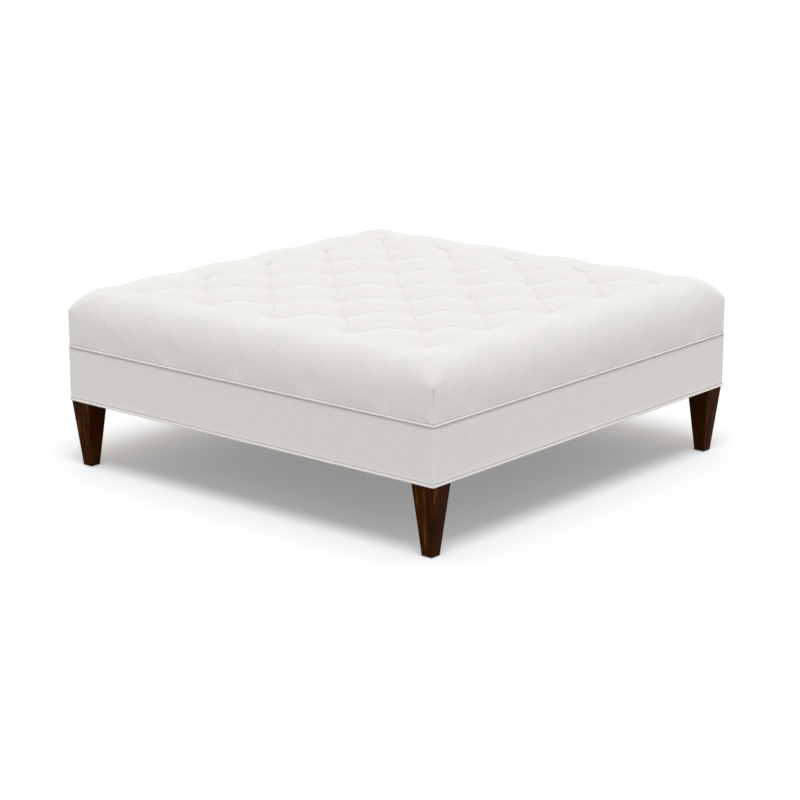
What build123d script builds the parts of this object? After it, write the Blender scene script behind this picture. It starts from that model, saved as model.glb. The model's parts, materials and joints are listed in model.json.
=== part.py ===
from build123d import *
from math import cos, hypot, radians, sin, sqrt
import os

# Ottoman coffee table: a square frame on four tapered legs, with a padded band round
# the frame and a deep diamond-tufted cushion over the deck.
# Millimetres, +Z up, the origin on the floor below the middle of the table.
# The front faces -Y and the right side faces +X.

# Overall
body_width = 1062.0         # across the covered faces, without the welts
leg_height = 152.0
rail_height = 113.0
deck_thickness = 12.0

# Clearances
fit_clearance = 0.1         # between a fastener or a tenon and its hole
soft_clearance = 0.3        # between soft pieces
cut_overrun = 1.0           # how far every cutter runs past what it cuts

# Legs
leg_top_size = 57.0
leg_foot_size = 27.0
leg_edge_ease = 1.2         # what the flat along each upright edge takes off both faces
glide_height = 2.0
glide_diameter = 19.0
glide_bevel = 1.2

# Leg fixings
bolt_diameter = 8.0
bolt_length = 58.0
bolt_end_room = 1.0         # above the bolt in the post
insert_diameter = 12.0
insert_length = 20.0

# Frame
post_size = 60.0
rail_thickness = 22.0
frame_corner_radius = 8.0
tenon_length = 20.0
tenon_thickness = 10.0
tenon_shoulder = 20.0       # from the rail's top and bottom edges to the tenon
cross_rail_height = 90.0
housing_depth = 6.0         # how far a cross rail is let into the front and back rails

# Coverings round the frame
band_thickness = 2.5
wadding_thickness = 1.2
flange_thickness = 1.0
dust_cover_thickness = 1.0
dust_cover_margin = 6.0     # from the frame's edge to the dust cover's edge
welt_diameter = 6.0
welt_sides = 8
flange_width = 16.0         # of the strip that holds a welt to the frame
mid_welt_rise = 2.0         # from the deck's top to the middle of the upper welt

# Cushion
foam_margin = 19.0          # from the deck's edge to the foam's side
foam_height = 100.0
foam_bevel = 16.0
wrap_bevel = 22.0
cover_thickness = 2.0       # of the cover at a tuft, where no fibre is left under it
corner_ease = 2.0           # by which a pad's corner radius is more than its bevel

# Tufting: heights are above the deck's top, insets are from the covered face
tufts_per_side = 5
tuft_inset = 115.0
tuft_rise = 113.5
crown_rise = 141.5          # middle of a puff
crest_inset = 60.0          # where the top starts to roll over the edge
crest_puff_rise = 139.5
crest_pleat_rise = 134.0
shoulder_rise = 81.0        # where the rolled edge turns into the side
side_bulge_puff = 2.5
side_bulge_pleat = 1.0
crown_swell = 0.6           # extra fullness of a border puff between tuft and crest
tuft_pad_radius = 5.0
tie_radius = 1.0
tie_hole_radius = 2.5
deck_hole_radius = 4.0
tie_sides = 4               # facets of a tie and of the holes that it passes through
tab_length = 24.0
tab_width = 10.0
tab_thickness = 3.0

# Shares of the sizes that they follow
cross_rail_share = 0.75     # of the tuft pitch, so that no tuft hole meets a cross rail
round_share = sqrt(1 / 2)   # the half-way point of a quarter round
puff_shares = (-1, -0.5, 0, 0.5, 1)     # sections of a puff, from pleat to pleat
corner_full_share = 0.5     # how full a corner puff is, against a border puff
hip_full_share = 0.45

# Levels, from the floor up
leg_top = glide_height + leg_height
frame_bottom = leg_top + dust_cover_thickness
rail_top = frame_bottom + rail_height
deck_top = rail_top + deck_thickness
base_welt_level = frame_bottom + welt_diameter / 2
mid_welt_level = deck_top + mid_welt_rise
hem_level = mid_welt_level + welt_diameter / 2 + soft_clearance
tuft_level = deck_top + tuft_rise
crown_level = deck_top + crown_rise
pleat_level = (tuft_level + crown_level) / 2
shoulder_level = deck_top + shoulder_rise
cavity_level = tuft_level - cover_thickness
wrap_level = cavity_level - soft_clearance

# Plan sizes
body_half = body_width / 2
band_layers = wadding_thickness + soft_clearance + band_thickness
frame_half = body_half - band_layers
frame_width = 2 * frame_half
foam_width = frame_width - 2 * foam_margin
body_corner_radius = frame_corner_radius + band_layers
flange_half = frame_half + flange_thickness
flange_corner_radius = frame_corner_radius + flange_thickness
leg_axis = body_half - leg_top_size / 2
tuft_row = body_half - tuft_inset
tuft_gaps = tufts_per_side - 1
tuft_pitch = 2 * tuft_row / tuft_gaps
diamond_side = tuft_pitch / sqrt(2)
cross_rail_offset = cross_rail_share * tuft_pitch

legs = GridLocations(2 * leg_axis, 2 * leg_axis, 2, 2).locations
main_tufts = GridLocations(tuft_pitch, tuft_pitch, tufts_per_side, tufts_per_side).locations
between_tufts = GridLocations(tuft_pitch, tuft_pitch, tuft_gaps, tuft_gaps).locations
tufts = main_tufts + between_tufts
corner_names = ("front_left", "back_left", "front_right", "back_right")

os.makedirs("parts", exist_ok=True)


def ring(outer_half, outer_radius, wall, bottom, top):
    """A square band with rounded corners and an even wall."""
    with BuildPart() as band:
        with BuildSketch(Plane.XY.offset(bottom)):
            RectangleRounded(2 * outer_half, 2 * outer_half, outer_radius)
            RectangleRounded(
                2 * (outer_half - wall),
                2 * (outer_half - wall),
                outer_radius - wall,
                mode=Mode.SUBTRACT,
            )
        extrude(amount=top - bottom)
    return band.part


def pad(width, bevel, bottom, top):
    """A square pad with a bevelled top edge and rounded corners."""
    with BuildPart() as block:
        with BuildSketch(Plane.XY.offset(bottom)):
            RectangleRounded(width, width, bevel + corner_ease)
        extrude(amount=top - bottom)
        chamfer(block.faces().sort_by(Axis.Z)[-1].edges(), bevel)
    return block.part


# Legs: square, with the same taper on all four faces and a narrow flat along each edge
leg_outline = (
    (leg_foot_size / 2, glide_height),
    (leg_top_size / 2, leg_top),
    (-leg_top_size / 2, leg_top),
    (-leg_foot_size / 2, glide_height),
)
with BuildPart() as leg:
    with BuildSketch(Plane.XZ):
        Polygon(*leg_outline, align=None)
    extrude(amount=leg_top_size / 2, both=True)
    with BuildSketch(Plane.YZ):
        Polygon(*leg_outline, align=None)
    extrude(amount=leg_top_size / 2, both=True, mode=Mode.INTERSECT)
    chamfer(leg.edges().filter_by(Plane.XY, reverse=True), leg_edge_ease)
    with Locations((0, 0, leg_top)):
        Hole(bolt_diameter / 2 + fit_clearance, depth=bolt_length / 2 + fit_clearance)
for corner_name, place in zip(corner_names, legs):
    with BuildPart() as placed_leg:
        with Locations(place):
            add(leg.part)
    placed_leg.part.label = "leg_" + corner_name
    export_step(placed_leg.part, "parts/leg_" + corner_name + ".step")

# Glides: a bevelled steel button under each leg
with BuildPart() as glide:
    with BuildSketch(Plane.XZ):
        with BuildLine():
            Polyline(
                (0, 0),
                (glide_diameter / 2 - glide_bevel, 0),
                (glide_diameter / 2, glide_bevel),
                (glide_diameter / 2, glide_height),
                (0, glide_height),
                close=True,
            )
        make_face()
    revolve(axis=Axis.Z)
with BuildPart() as leg_glides:
    with Locations(*legs):
        add(glide.part)
leg_glides.part.label = "leg_glides"
export_step(leg_glides.part, "parts/leg_glides.step")

# Leg fixings: a bolt from each leg into a threaded insert in the post above it
with BuildPart() as bolt:
    with Locations((0, 0, leg_top)):
        Cylinder(bolt_diameter / 2, bolt_length)
with BuildPart() as hanger_bolts:
    with Locations(*legs):
        add(bolt.part)
hanger_bolts.part.label = "hanger_bolts"
export_step(hanger_bolts.part, "parts/hanger_bolts.step")

with BuildPart() as insert:
    with BuildSketch(Plane.XY.offset(frame_bottom)):
        Circle(insert_diameter / 2)
        Circle(bolt_diameter / 2 + fit_clearance, mode=Mode.SUBTRACT)
    extrude(amount=insert_length)
with BuildPart() as threaded_inserts:
    with Locations(*legs):
        add(insert.part)
threaded_inserts.part.label = "threaded_inserts"
export_step(threaded_inserts.part, "parts/threaded_inserts.step")

# Rails: each has a tenon at both ends, made along X and turned to its side
tenon_height = rail_height - 2 * tenon_shoulder
rail_run = frame_width - 2 * post_size
rail_line = frame_half - rail_thickness / 2
with BuildPart() as side_rail:
    with BuildSketch(Plane.XY.offset(frame_bottom)):
        with Locations((0, -rail_line)):
            Rectangle(rail_run, rail_thickness)
    extrude(amount=rail_height)
    with BuildSketch(Plane.XY.offset(frame_bottom + tenon_shoulder)):
        with Locations((0, -rail_line)):
            Rectangle(rail_run + 2 * tenon_length, tenon_thickness)
    extrude(amount=tenon_height)
with BuildPart() as housed_rail:
    add(side_rail.part)
    with BuildSketch(Plane.XY.offset(rail_top)):
        with Locations(
            (-cross_rail_offset, -frame_half + rail_thickness),
            (cross_rail_offset, -frame_half + rail_thickness),
        ):
            Rectangle(rail_thickness + 2 * fit_clearance, 2 * (housing_depth + fit_clearance))
    extrude(amount=-cross_rail_height - fit_clearance, mode=Mode.SUBTRACT)
for rail_name, rail, turn in (
    ("front_rail", housed_rail, 0),
    ("right_rail", side_rail, 90),
    ("back_rail", housed_rail, 180),
    ("left_rail", side_rail, 270),
):
    with BuildPart() as placed_rail:
        with Locations(Location((0, 0, 0), (0, 0, turn))):
            add(rail.part)
    placed_rail.part.label = rail_name
    export_step(placed_rail.part, "parts/" + rail_name + ".step")

# Cross rails: let into the front and back rails, under the deck
with BuildPart() as cross_rail:
    with BuildSketch(Plane.XY.offset(rail_top - cross_rail_height)):
        Rectangle(rail_thickness, frame_width - 2 * rail_thickness + 2 * housing_depth)
    extrude(amount=cross_rail_height)
for rail_name, offset in (("left_cross_rail", -cross_rail_offset), ("right_cross_rail", cross_rail_offset)):
    with BuildPart() as placed_cross_rail:
        with Locations((offset, 0, 0)):
            add(cross_rail.part)
    placed_cross_rail.part.label = rail_name
    export_step(placed_cross_rail.part, "parts/" + rail_name + ".step")

# Corner posts: a rounded outer edge, two mortises and the hole for the insert
post_line = frame_half - post_size / 2
with BuildPart() as post:
    with BuildSketch(Plane.XY.offset(frame_bottom)) as post_plan:
        with Locations((post_line, post_line)):
            Rectangle(post_size, post_size)
        fillet(post_plan.vertices().group_by(Axis.X)[-1].sort_by(Axis.Y)[-1], frame_corner_radius)
    extrude(amount=rail_height)
    with BuildSketch(Plane.XY.offset(frame_bottom + tenon_shoulder - fit_clearance)):
        with Locations((frame_half - post_size, rail_line)):
            Rectangle(2 * (tenon_length + fit_clearance), tenon_thickness + 2 * fit_clearance)
        with Locations((rail_line, frame_half - post_size)):
            Rectangle(tenon_thickness + 2 * fit_clearance, 2 * (tenon_length + fit_clearance))
    extrude(amount=tenon_height + 2 * fit_clearance, mode=Mode.SUBTRACT)
    with Locations(Location((leg_axis, leg_axis, frame_bottom), (180, 0, 0))):
        Hole(insert_diameter / 2 + fit_clearance, depth=bolt_length / 2 + bolt_end_room)
for corner_name, turn in zip(corner_names, (180, 90, 270, 0)):
    with BuildPart() as placed_post:
        with Locations(Location((0, 0, 0), (0, 0, turn))):
            add(post.part)
    placed_post.part.label = "post_" + corner_name
    export_step(placed_post.part, "parts/post_" + corner_name + ".step")

# Deck: a plywood panel with a hole under every tuft
with BuildPart() as deck_panel:
    with BuildSketch(Plane.XY.offset(rail_top)):
        RectangleRounded(frame_width, frame_width, frame_corner_radius)
        with Locations(*tufts):
            RegularPolygon(deck_hole_radius, tie_sides, mode=Mode.SUBTRACT)
    extrude(amount=deck_thickness)
deck_panel.part.label = "deck_panel"
export_step(deck_panel.part, "parts/deck_panel.step")

# Dust cover: cloth over the underside, held between the legs and the posts
with BuildPart() as dust_cover:
    with BuildSketch(Plane.XY.offset(leg_top)):
        RectangleRounded(
            frame_width - 2 * dust_cover_margin,
            frame_width - 2 * dust_cover_margin,
            frame_corner_radius,
        )
        with Locations(*legs):
            Circle(bolt_diameter / 2 + fit_clearance, mode=Mode.SUBTRACT)
    extrude(amount=dust_cover_thickness)
dust_cover.part.label = "dust_cover"
export_step(dust_cover.part, "parts/dust_cover.step")


def welt(level, flange_turn):
    """A piped edge round the body: cord, web and the strip that lies against the frame.

    flange_turn is 1 where the strip runs up from the cord and -1 where it runs down.
    """
    run_half = body_half - body_corner_radius
    low, high = sorted((level, level + flange_turn * flange_width))
    with BuildPart() as quarter:
        with BuildSketch(Plane(origin=(-run_half, -body_half, level), z_dir=(1, 0, 0))):
            RegularPolygon(welt_diameter / 2, welt_sides)
        extrude(amount=2 * run_half)
        with BuildSketch(Plane(origin=(run_half, -body_half, level), z_dir=(1, 0, 0))):
            RegularPolygon(welt_diameter / 2, welt_sides)
        revolve(axis=Axis((run_half, -run_half, level), (0, 0, 1)), revolution_arc=90)
    with BuildPart() as piping:
        with PolarLocations(0, 4):
            add(quarter.part)
        web_half = flange_thickness / 2
        add(ring(body_half, body_corner_radius, band_layers, level - web_half, level + web_half))
        add(ring(flange_half, flange_corner_radius, flange_thickness, low, high))
    return piping.part


with BuildPart() as base_welt:
    add(welt(base_welt_level, 1))
base_welt.part.label = "base_welt"
export_step(base_welt.part, "parts/base_welt.step")
with BuildPart() as mid_welt:
    add(welt(mid_welt_level, -1))
mid_welt.part.label = "mid_welt"
export_step(mid_welt.part, "parts/mid_welt.step")

# Band round the frame, and the wadding between the welts' strips
with BuildPart() as apron_band:
    add(
        ring(
            body_half,
            body_corner_radius,
            band_thickness,
            base_welt_level + welt_diameter / 2 + soft_clearance,
            mid_welt_level - welt_diameter / 2 - soft_clearance,
        )
    )
apron_band.part.label = "apron_band"
export_step(apron_band.part, "parts/apron_band.step")

with BuildPart() as apron_wadding:
    add(
        ring(
            frame_half + wadding_thickness,
            frame_corner_radius + wadding_thickness,
            wadding_thickness,
            base_welt_level + flange_width + soft_clearance,
            mid_welt_level - flange_width - soft_clearance,
        )
    )
apron_wadding.part.label = "apron_wadding"
export_step(apron_wadding.part, "parts/apron_wadding.step")

# Foam slab on the deck
with BuildPart() as foam_slab:
    add(pad(foam_width, foam_bevel, deck_top, deck_top + foam_height))
    with BuildSketch(Plane.XY.offset(deck_top)):
        with Locations(*tufts):
            RegularPolygon(tie_hole_radius, tie_sides)
    extrude(amount=foam_height, mode=Mode.SUBTRACT)
foam_slab.part.label = "foam_slab"
export_step(foam_slab.part, "parts/foam_slab.step")

# Fibre wrap over the foam, as wide as the deck
with BuildPart() as fibre_wrap:
    add(pad(frame_width - 2 * soft_clearance, wrap_bevel, deck_top, wrap_level))
    add(
        pad(
            foam_width + 2 * soft_clearance,
            foam_bevel + soft_clearance,
            deck_top,
            deck_top + foam_height + soft_clearance,
        ),
        mode=Mode.SUBTRACT,
    )
    with BuildSketch(Plane.XY.offset(deck_top)):
        with Locations(*tufts):
            RegularPolygon(tie_hole_radius, tie_sides)
    extrude(amount=wrap_level - deck_top, mode=Mode.SUBTRACT)
fibre_wrap.part.label = "fibre_wrap"
export_step(fibre_wrap.part, "parts/fibre_wrap.step")

# Ties: twine from each tuft down through the pads and the deck to a tab of webbing
with BuildPart() as tufting_ties:
    with BuildSketch(Plane.XY.offset(rail_top)):
        with Locations(*tufts):
            RegularPolygon(tie_radius, tie_sides)
    extrude(amount=cavity_level - rail_top)
tufting_ties.part.label = "tufting_ties"
export_step(tufting_ties.part, "parts/tufting_ties.step")

with BuildPart() as tie_tabs:
    with BuildSketch(Plane.XY.offset(rail_top - tab_thickness)):
        with Locations(*tufts):
            Rectangle(tab_length, tab_width)
    extrude(amount=tab_thickness)
tie_tabs.part.label = "tie_tabs"
export_step(tie_tabs.part, "parts/tie_tabs.step")


# Tufted cover, with the fibre that fills its puffs. The pleats cross the top at 45
# degrees, in arcs from tuft to tuft, and each diamond between them swells to a crown.
def puff_chain(offset, puffs, edge, crown):
    """Section of a diagonal row of puffs: one arc per puff, on a straight base."""
    half_run = puffs * diamond_side / 2
    across = Plane(
        origin=(offset * round_share, -offset * round_share, 0),
        x_dir=(1, 1, 0),
        z_dir=(1, -1, 0),
    )
    with BuildSketch(across) as section:
        with BuildLine():
            Polyline(
                (-half_run, edge),
                (-half_run, hem_level),
                (half_run, hem_level),
                (half_run, edge),
            )
            for puff in range(puffs):
                start = -half_run + puff * diamond_side
                ThreePointArc(
                    (start, edge),
                    (start + diamond_side / 2, crown),
                    (start + diamond_side, edge),
                )
        make_face()
    return section.sketch


def puff_row(offset, puffs):
    """A diagonal row of puffs, which swells from one pleat and falls to the next."""
    sections = []
    for share in puff_shares:
        fullness = 1 - share**2
        sections.append(
            puff_chain(
                offset + share * diamond_side / 2,
                puffs,
                tuft_level + (pleat_level - tuft_level) * fullness,
                pleat_level + (crown_level - pleat_level) * fullness,
            )
        )
    return loft(sections, ruled=True, mode=Mode.PRIVATE)


def edge_profile(plane, stretch, fullness):
    """Section of the border, from the tuft row over the rolled edge to the hem.

    stretch widens the section on a slanting plane. fullness is 0 at a pleat and 1 at
    the middle of a puff.
    """
    reach = tuft_inset * stretch
    crest = (tuft_inset - crest_inset) * stretch
    inner_level = tuft_level + fullness * (crown_level - tuft_level)
    crest_rise = crest_pleat_rise + fullness * (crest_puff_rise - crest_pleat_rise)
    crest_level = deck_top + crest_rise
    bulge = side_bulge_pleat + fullness * (side_bulge_puff - side_bulge_pleat)

    def climb(share):
        """Level between the tuft row and the crest, which eases off at the crest."""
        return inner_level + (crest_level - inner_level) * (1 - (1 - share) ** 2)

    start_share = tuft_pad_radius / crest
    middle_share = (1 + start_share) / 2
    start = (tuft_pad_radius, climb(start_share))
    top = (crest, crest_level)
    shoulder = (reach, shoulder_level)
    hem = (reach, hem_level)
    with BuildSketch(plane) as section:
        with BuildLine():
            Polyline(hem, (tuft_pad_radius, hem_level), start)
            ThreePointArc(
                start,
                (crest * middle_share, climb(middle_share) + crown_swell * fullness),
                top,
            )
            ThreePointArc(
                top,
                (
                    crest + (reach - crest) * round_share,
                    shoulder_level + (crest_level - shoulder_level) * round_share,
                ),
                shoulder,
            )
            ThreePointArc(
                shoulder,
                (reach + bulge * stretch, (shoulder_level + hem_level) / 2),
                hem,
            )
        make_face()
    return section.sketch


def corner_profile(right, out, fullness):
    """Section of a corner, on the upright plane from the corner tuft to a point.

    The point lies on the corner's outline, right of the tuft and out towards the front.
    """
    outward = Vector(right, -out, 0)
    plane = Plane(
        origin=(tuft_row, -tuft_row, 0),
        x_dir=outward,
        z_dir=outward.cross(Vector(0, 0, 1)),
    )
    return edge_profile(plane, hypot(right, out) / tuft_inset, fullness)


# Sections round a corner: the front's flat, the rounded corner with its hip, the flat of
# the right side
flat_run = tuft_inset - body_corner_radius
corner_sections = [
    corner_profile(0, tuft_inset, 0),
    corner_profile(flat_run / 2, tuft_inset, corner_full_share),
]
for share in puff_shares:
    around = radians(90 * (1 + share) / 2)
    hip_fullness = hip_full_share + (corner_full_share - hip_full_share) * (1 - share**2)
    corner_sections.append(
        corner_profile(
            flat_run + body_corner_radius * sin(around),
            flat_run + body_corner_radius * cos(around),
            hip_fullness,
        )
    )
corner_sections += [
    corner_profile(tuft_inset, flat_run / 2, corner_full_share),
    corner_profile(tuft_inset, 0, 0),
]

# Field of puffs inside the outermost tufts
with BuildPart() as field:
    rows = []
    for row in range(2 * tuft_gaps):
        rows_from_middle = row - tuft_gaps + 1 / 2
        puffs = 2 * (tuft_gaps - int(abs(rows_from_middle)))
        rows.append(puff_row(rows_from_middle * diamond_side, puffs))
    add(rows, clean=False)
    Box(2 * tuft_row, 2 * tuft_row, 2 * crown_level, mode=Mode.INTERSECT)

# One border puff: the rolled edge between two straight pleats, and the strip that
# joins it to the cut face of the half puff on the tuft row
with BuildPart() as rolled_edge:
    loft(
        [
            edge_profile(
                Plane(origin=(offset, -tuft_row, 0), x_dir=(0, -1, 0), z_dir=(-1, 0, 0)),
                1,
                fullness,
            )
            for offset, fullness in ((share * tuft_pitch / 2, 1 - share**2) for share in puff_shares)
        ],
        ruled=True,
    )
with BuildPart() as half_puff:
    add(puff_row(0, 1))
    split(bisect_by=Plane.XZ, keep=Keep.TOP)
cut_face = half_puff.faces().filter_by(Axis.Y).sort_by(Axis.Y)[-1]
inner_face = rolled_edge.faces().filter_by(Axis.Y).sort_by(Axis.Y)[-1]
with BuildPart() as joining_strip:
    loft([cut_face.moved(Location((0, -tuft_row, 0))), inner_face])

# One side of the border, and one corner
with BuildPart() as border_side:
    with GridLocations(tuft_pitch, tuft_pitch, tuft_gaps, 1):
        add([rolled_edge.part, joining_strip.part], clean=False)
with BuildPart() as corner:
    loft(corner_sections, ruled=True)
    with Locations((tuft_row, -tuft_row, hem_level)):
        Cylinder(
            tuft_pad_radius + cut_overrun,
            tuft_level - hem_level,
            align=(Align.CENTER, Align.CENTER, Align.MIN),
        )

with BuildPart() as tufted_cover:
    add(field.part)
    with PolarLocations(0, 4):
        add([border_side.part, corner.part], clean=False)
    add(
        pad(frame_width, wrap_bevel + soft_clearance, hem_level - cut_overrun, cavity_level),
        mode=Mode.SUBTRACT,
    )
tufted_cover.part.label = "tufted_cover"
export_step(tufted_cover.part, "parts/tufted_cover.step")
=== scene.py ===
"""Looks of the ottoman coffee table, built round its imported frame.

Metres, +Z up, the origin on the floor below the middle of the table. The front faces -Y
and the right side faces +X. Every piece of cloth starts as a flat panel and is laid over
the padding below it, so its UV map holds the flat cloth in metres.
"""

from __future__ import annotations

import json
import logging
import math
from dataclasses import dataclass, field
from enum import Enum
from functools import partial
from typing import Any, Callable, Sequence

import bmesh
import bpy
from mathutils import Matrix, Vector, noise

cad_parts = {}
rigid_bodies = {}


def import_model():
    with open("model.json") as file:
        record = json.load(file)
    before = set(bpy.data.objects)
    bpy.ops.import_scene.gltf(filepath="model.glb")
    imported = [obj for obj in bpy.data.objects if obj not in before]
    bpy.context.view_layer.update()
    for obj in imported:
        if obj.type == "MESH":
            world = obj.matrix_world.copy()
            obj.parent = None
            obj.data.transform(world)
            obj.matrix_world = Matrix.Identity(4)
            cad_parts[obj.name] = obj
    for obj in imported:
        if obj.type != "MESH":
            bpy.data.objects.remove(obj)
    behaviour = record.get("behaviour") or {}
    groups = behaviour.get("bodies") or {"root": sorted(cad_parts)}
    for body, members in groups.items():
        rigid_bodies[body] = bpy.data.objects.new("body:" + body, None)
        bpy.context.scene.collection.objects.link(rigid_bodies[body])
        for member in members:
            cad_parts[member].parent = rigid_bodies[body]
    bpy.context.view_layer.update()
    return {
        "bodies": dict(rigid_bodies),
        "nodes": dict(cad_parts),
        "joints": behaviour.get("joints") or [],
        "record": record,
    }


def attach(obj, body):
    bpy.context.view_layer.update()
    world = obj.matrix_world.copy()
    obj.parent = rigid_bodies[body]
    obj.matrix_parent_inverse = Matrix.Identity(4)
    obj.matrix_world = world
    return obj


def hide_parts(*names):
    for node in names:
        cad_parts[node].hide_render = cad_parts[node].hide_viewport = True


log = logging.getLogger("ottoman_table")

CLOTH_MAP = "cloth"
EIGHTH = math.pi / 4  # of a full turn, in radians
QUARTER = math.pi / 2
WELD = 0.00005  # a laid panel's seams close over this distance
TOUCHING = 0.00001  # points of a solid or a cut this near are the same one
ROUNDING = 0.000001  # a share this close below a whole number counts as it
Colour = tuple[float, float, float, float]
Place = tuple[Vector, tuple[float, float]]  # in space, and on the flat cloth


def linear(hex_colour: str) -> Colour:
    """Turn an sRGB hex colour into linear values.

    Args:
        hex_colour: Six hex digits after a hash sign.

    Returns:
        Linear red, green and blue, and an alpha of 1.
    """
    channels = []
    for start in (1, 3, 5):
        value = int(hex_colour[start : start + 2], 16) / 255
        channels.append(value / 12.92 if value <= 0.04045 else ((value + 0.055) / 1.055) ** 2.4)
    return (channels[0], channels[1], channels[2], 1.0)


def smooth_step(share: float) -> float:
    """Ease a share in and out between 0 and 1."""
    share = min(1.0, max(0.0, share))
    return share * share * (3 - 2 * share)


def mix(start: float, end: float, share: float) -> float:
    """Go a share of the way from one value to another."""
    return start + (end - start) * share


def bell(gap: float, width: float) -> float:
    """Fall smoothly on both sides, from 1 at no gap to about a third at the width."""
    return math.exp(-((gap / width) ** 2))


def nearer(share: float) -> float:
    """Distance of a share from 0 or from 1, whichever is nearer."""
    return min(share, 1 - share)


def pick(values: Sequence[float], share: float) -> float:
    """Return the value at a share of the way along a list."""
    return values[round(share * (len(values) - 1))]


def puff_number(place: float) -> int:
    """Number of the puff at a place in pitches, where a pleat belongs to the puff after it."""
    return math.floor(place + ROUNDING)


def quarter_turns(turn: int, place: Vector) -> Vector:
    """Turn a place round the middle of the table, by quarter turns."""
    return Matrix.Rotation(turn * QUARTER, 3, "Z") @ place


def add_node(
    tree: bpy.types.NodeTree,
    kind: str,
    sockets: dict[str | int, Any] | None = None,
    stops: Sequence[tuple[float, Colour]] = (),
    **settings: Any,
) -> bpy.types.Node:
    """Add a shader node, set it up and link it.

    Args:
        tree: Node tree that gets the node.
        kind: Type name of the node.
        sockets: Input sockets by name, or by number, which tells those of one name
            apart. An output socket is linked, and any other value is set.
        stops: Places and colours of a colour ramp.
        **settings: Attributes of the node.

    Returns:
        The new node.
    """
    node = tree.nodes.new(kind)
    for name, value in settings.items():
        setattr(node, name, value)
    for name, value in (sockets or {}).items():
        if isinstance(value, bpy.types.NodeSocket):
            tree.links.new(value, node.inputs[name])
        else:
            node.inputs[name].default_value = value
    if stops:
        ramp = node.color_ramp
        while len(ramp.elements) < len(stops):
            ramp.elements.new(1.0)
        for element, (position, colour) in zip(ramp.elements, stops):
            element.position = position
            element.color = colour
    return node


def white_ray(tree: bpy.types.NodeTree) -> bpy.types.NodeSocket:
    """Tell the rays that see the white background from those that light the table.

    Args:
        tree: Node tree of the floor or the sky.

    Returns:
        A socket that is 1 for camera, glossy and transmission rays, and 0 for the rest.
    """
    ray = add_node(tree, "ShaderNodeLightPath")
    seen = ray.outputs["Is Camera Ray"]
    for kind in ("Is Glossy Ray", "Is Transmission Ray"):
        seen = add_node(
            tree, "ShaderNodeMath", {0: seen, 1: ray.outputs[kind]}, operation="MAXIMUM"
        ).outputs[0]
    return seen


@dataclass(frozen=True)
class Finish:
    """A named surface finish, made as one node-based material."""

    name: str

    def material(self) -> bpy.types.Material:
        """Return the material, which is made once.

        Returns:
            The material with this finish's name.
        """
        found = bpy.data.materials.get(self.name)
        if found:
            return found
        made = bpy.data.materials.new(self.name)
        made.use_nodes = True
        tree = made.node_tree
        tree.nodes.clear()
        shader = add_node(tree, "ShaderNodeBsdfPrincipled", self.shade(tree))
        add_node(tree, "ShaderNodeOutputMaterial", {"Surface": shader.outputs[0]})
        return made

    def shade(self, tree: bpy.types.NodeTree) -> dict[str, Any]:
        """Build the finish's patterns and return the sockets of its shader."""
        raise NotImplementedError


@dataclass(frozen=True)
class TonedFinish(Finish):
    """A finish whose tones follow one pattern and its relief another, or the same."""

    light: str = "#F2EFE6"
    dark: str = "#DDD8CC"
    tone_stops: tuple[float, ...] = (0.35, 0.65)
    roughness: float = 0.95
    bump: float = 0.0006
    bump_strength: float = 0.6

    def tones(self) -> tuple[str, ...]:
        """Return the colours at the tone stops, from low to high."""
        return (self.dark, self.light)

    def follow(
        self,
        tree: bpy.types.NodeTree,
        pattern: bpy.types.NodeSocket,
        relief: bpy.types.NodeSocket,
    ) -> dict[str, Any]:
        """Let the colour and the relief follow their patterns.

        Args:
            tree: Node tree of the material.
            pattern: Output of the pattern that the tones follow.
            relief: Output of the pattern that stands proud.

        Returns:
            The shader's colour, roughness and normal.
        """
        stops = [(stop, linear(tone)) for stop, tone in zip(self.tone_stops, self.tones())]
        colour = add_node(tree, "ShaderNodeValToRGB", {0: pattern}, stops=stops)
        bump = add_node(
            tree,
            "ShaderNodeBump",
            {"Strength": self.bump_strength, "Distance": self.bump, "Height": relief},
        )
        return {
            "Base Color": colour.outputs[0],
            "Roughness": self.roughness,
            "Normal": bump.outputs[0],
        }


class Thread(Enum):
    """How a cloth panel's threads lie against its edges, in degrees."""

    STRAIGHT = 0.0
    BIAS = 45.0


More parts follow.
